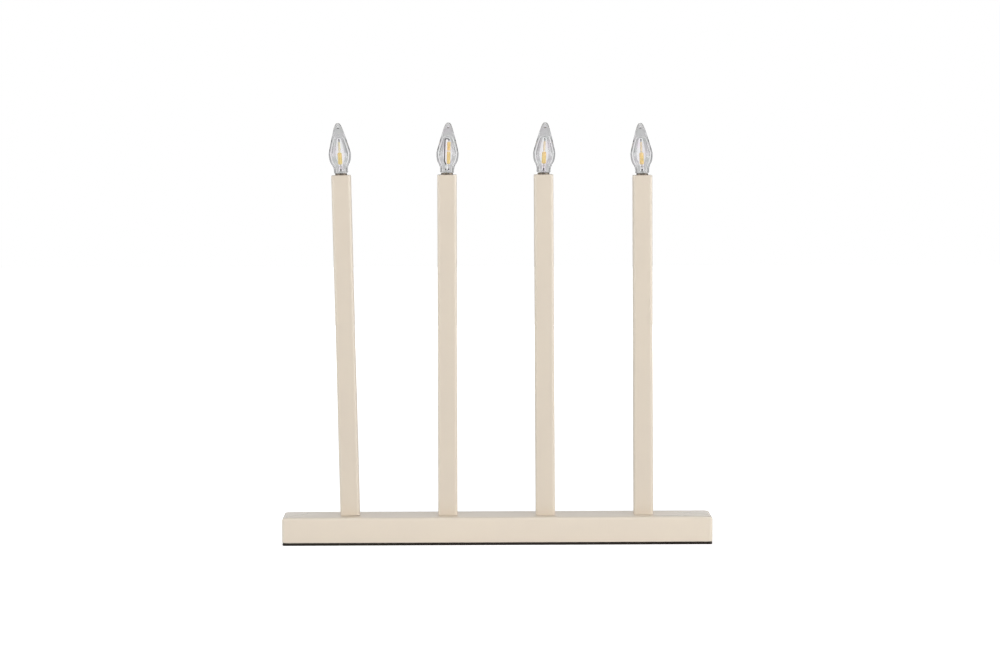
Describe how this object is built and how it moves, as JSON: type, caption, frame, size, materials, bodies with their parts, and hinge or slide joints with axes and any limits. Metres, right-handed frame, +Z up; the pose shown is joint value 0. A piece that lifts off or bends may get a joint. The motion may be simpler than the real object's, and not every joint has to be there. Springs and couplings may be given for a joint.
{
  "type": "advent candlestick",
  "caption": "Electric advent candlestick: a long wooden bar on a foam pad carries tall square posts in a row, each topped by a flame-shaped screw-in lamp.",
  "frame": {"origin": "middle of the pad's underside, on the surface the candlestick stands on", "axes": "+X along the bar to the viewer's right, +Y to the back where the cord comes in, +Z up"},
  "size_m": [0.377, 0.045, 0.3691],
  "materials": {
    "painted_wood": "matt sprayed paint, pale beige",
    "foam_pad": "black closed-cell foam",
    "clear_glass": "clear, thick, polished",
    "cap_metal": "nickel-plated, dulled",
    "sleeve_brass": "bare brass",
    "spring_bronze": "rolled strip",
    "solder": "dull solder",
    "lead_metal": "drawn wire, oxidised",
    "phosphor": "yellow phosphor coat",
    "black_plastic": "moulded, satin",
    "wire_cover": "extruded PVC",
    "crimp_cover": "moulded nylon"
  },
  "bodies": {
    "candlestick": {"base_block": "painted_wood", "base_pad": "foam_pad", "cord_bush": "black_plastic", "crimp_sleeve_1": "crimp_cover", "crimp_sleeve_2": "crimp_cover", "wire_holder_1_in": "wire_cover", "wire_1_to_2": "wire_cover", "wire_2_to_3": "wire_cover", "wire_3_to_4": "wire_cover", "wire_holder_4_out": "wire_cover", "post_1": "painted_wood", "post_2": "painted_wood", "post_3": "painted_wood", "post_4": "painted_wood", "lampholder_body_1": "black_plastic", "lampholder_body_2": "black_plastic", "lampholder_body_3": "black_plastic", "lampholder_body_4": "black_plastic", "thread_sleeve_1": "sleeve_brass", "thread_sleeve_2": "sleeve_brass", "thread_sleeve_3": "sleeve_brass", "thread_sleeve_4": "sleeve_brass", "contact_spring_1": "spring_bronze", "contact_spring_2": "spring_bronze", "contact_spring_3": "spring_bronze", "contact_spring_4": "spring_bronze"},
    "lamp_contact_1": {"bulb_contact_1": "solder"},
    "lamp_contact_2": {"bulb_contact_2": "solder"},
    "lamp_contact_3": {"bulb_contact_3": "solder"},
    "lamp_contact_4": {"bulb_contact_4": "solder"},
    "lamp_1": {"bulb_glass_1": "clear_glass", "bulb_cap_1": "cap_metal", "bulb_insulator_1": "black_plastic", "bulb_stem_1": "clear_glass", "bulb_lead_1": "lead_metal", "bulb_filament_1": "phosphor"},
    "lamp_2": {"bulb_glass_2": "clear_glass", "bulb_cap_2": "cap_metal", "bulb_insulator_2": "black_plastic", "bulb_stem_2": "clear_glass", "bulb_lead_2": "lead_metal", "bulb_filament_2": "phosphor"},
    "lamp_3": {"bulb_glass_3": "clear_glass", "bulb_cap_3": "cap_metal", "bulb_insulator_3": "black_plastic", "bulb_stem_3": "clear_glass", "bulb_lead_3": "lead_metal", "bulb_filament_3": "phosphor"},
    "lamp_4": {"bulb_glass_4": "clear_glass", "bulb_cap_4": "cap_metal", "bulb_insulator_4": "black_plastic", "bulb_stem_4": "clear_glass", "bulb_lead_4": "lead_metal", "bulb_filament_4": "phosphor"}
  },
  "joints": [
    {"name": "lamp_1_lift", "type": "slide", "parent": "candlestick", "child": "lamp_contact_1", "axis": [-0.0208, 0, 0.9998], "range_m": [0, 0.00635]},
    {"name": "lamp_1_turn", "type": "hinge", "parent": "lamp_contact_1", "child": "lamp_1", "pos_m": [-0.13561, 0, 0.32341], "axis": [-0.0208, 0, 0.9998], "range_deg": [0, 1260]},
    {"name": "lamp_2_lift", "type": "slide", "parent": "candlestick", "child": "lamp_contact_2", "axis": [0.0012, 0, 1], "range_m": [0, 0.00635]},
    {"name": "lamp_2_turn", "type": "hinge", "parent": "lamp_contact_2", "child": "lamp_2", "pos_m": [-0.04308, 0, 0.32361], "axis": [0.0012, 0, 1], "range_deg": [0, 1260]},
    {"name": "lamp_3_lift", "type": "slide", "parent": "candlestick", "child": "lamp_contact_3", "axis": [-0.0035, 0, 1], "range_m": [0, 0.00635]},
    {"name": "lamp_3_turn", "type": "hinge", "parent": "lamp_contact_3", "child": "lamp_3", "pos_m": [0.04131, 0, 0.32363], "axis": [-0.0035, 0, 1], "range_deg": [0, 1260]},
    {"name": "lamp_4_lift", "type": "slide", "parent": "candlestick", "child": "lamp_contact_4", "axis": [-0.0033, 0, 1], "range_m": [0, 0.00635]},
    {"name": "lamp_4_turn", "type": "hinge", "parent": "lamp_contact_4", "child": "lamp_4", "pos_m": [0.12776, 0, 0.32273], "axis": [-0.0033, 0, 1], "range_deg": [0, 1260]}
  ],
  "couplings": [
    {"joint": "lamp_1_lift", "follows": "lamp_1_turn", "m_per_rad": 0.00028871},
    {"joint": "lamp_2_lift", "follows": "lamp_2_turn", "m_per_rad": 0.00028871},
    {"joint": "lamp_3_lift", "follows": "lamp_3_turn", "m_per_rad": 0.00028871},
    {"joint": "lamp_4_lift", "follows": "lamp_4_turn", "m_per_rad": 0.00028871}
  ]
}
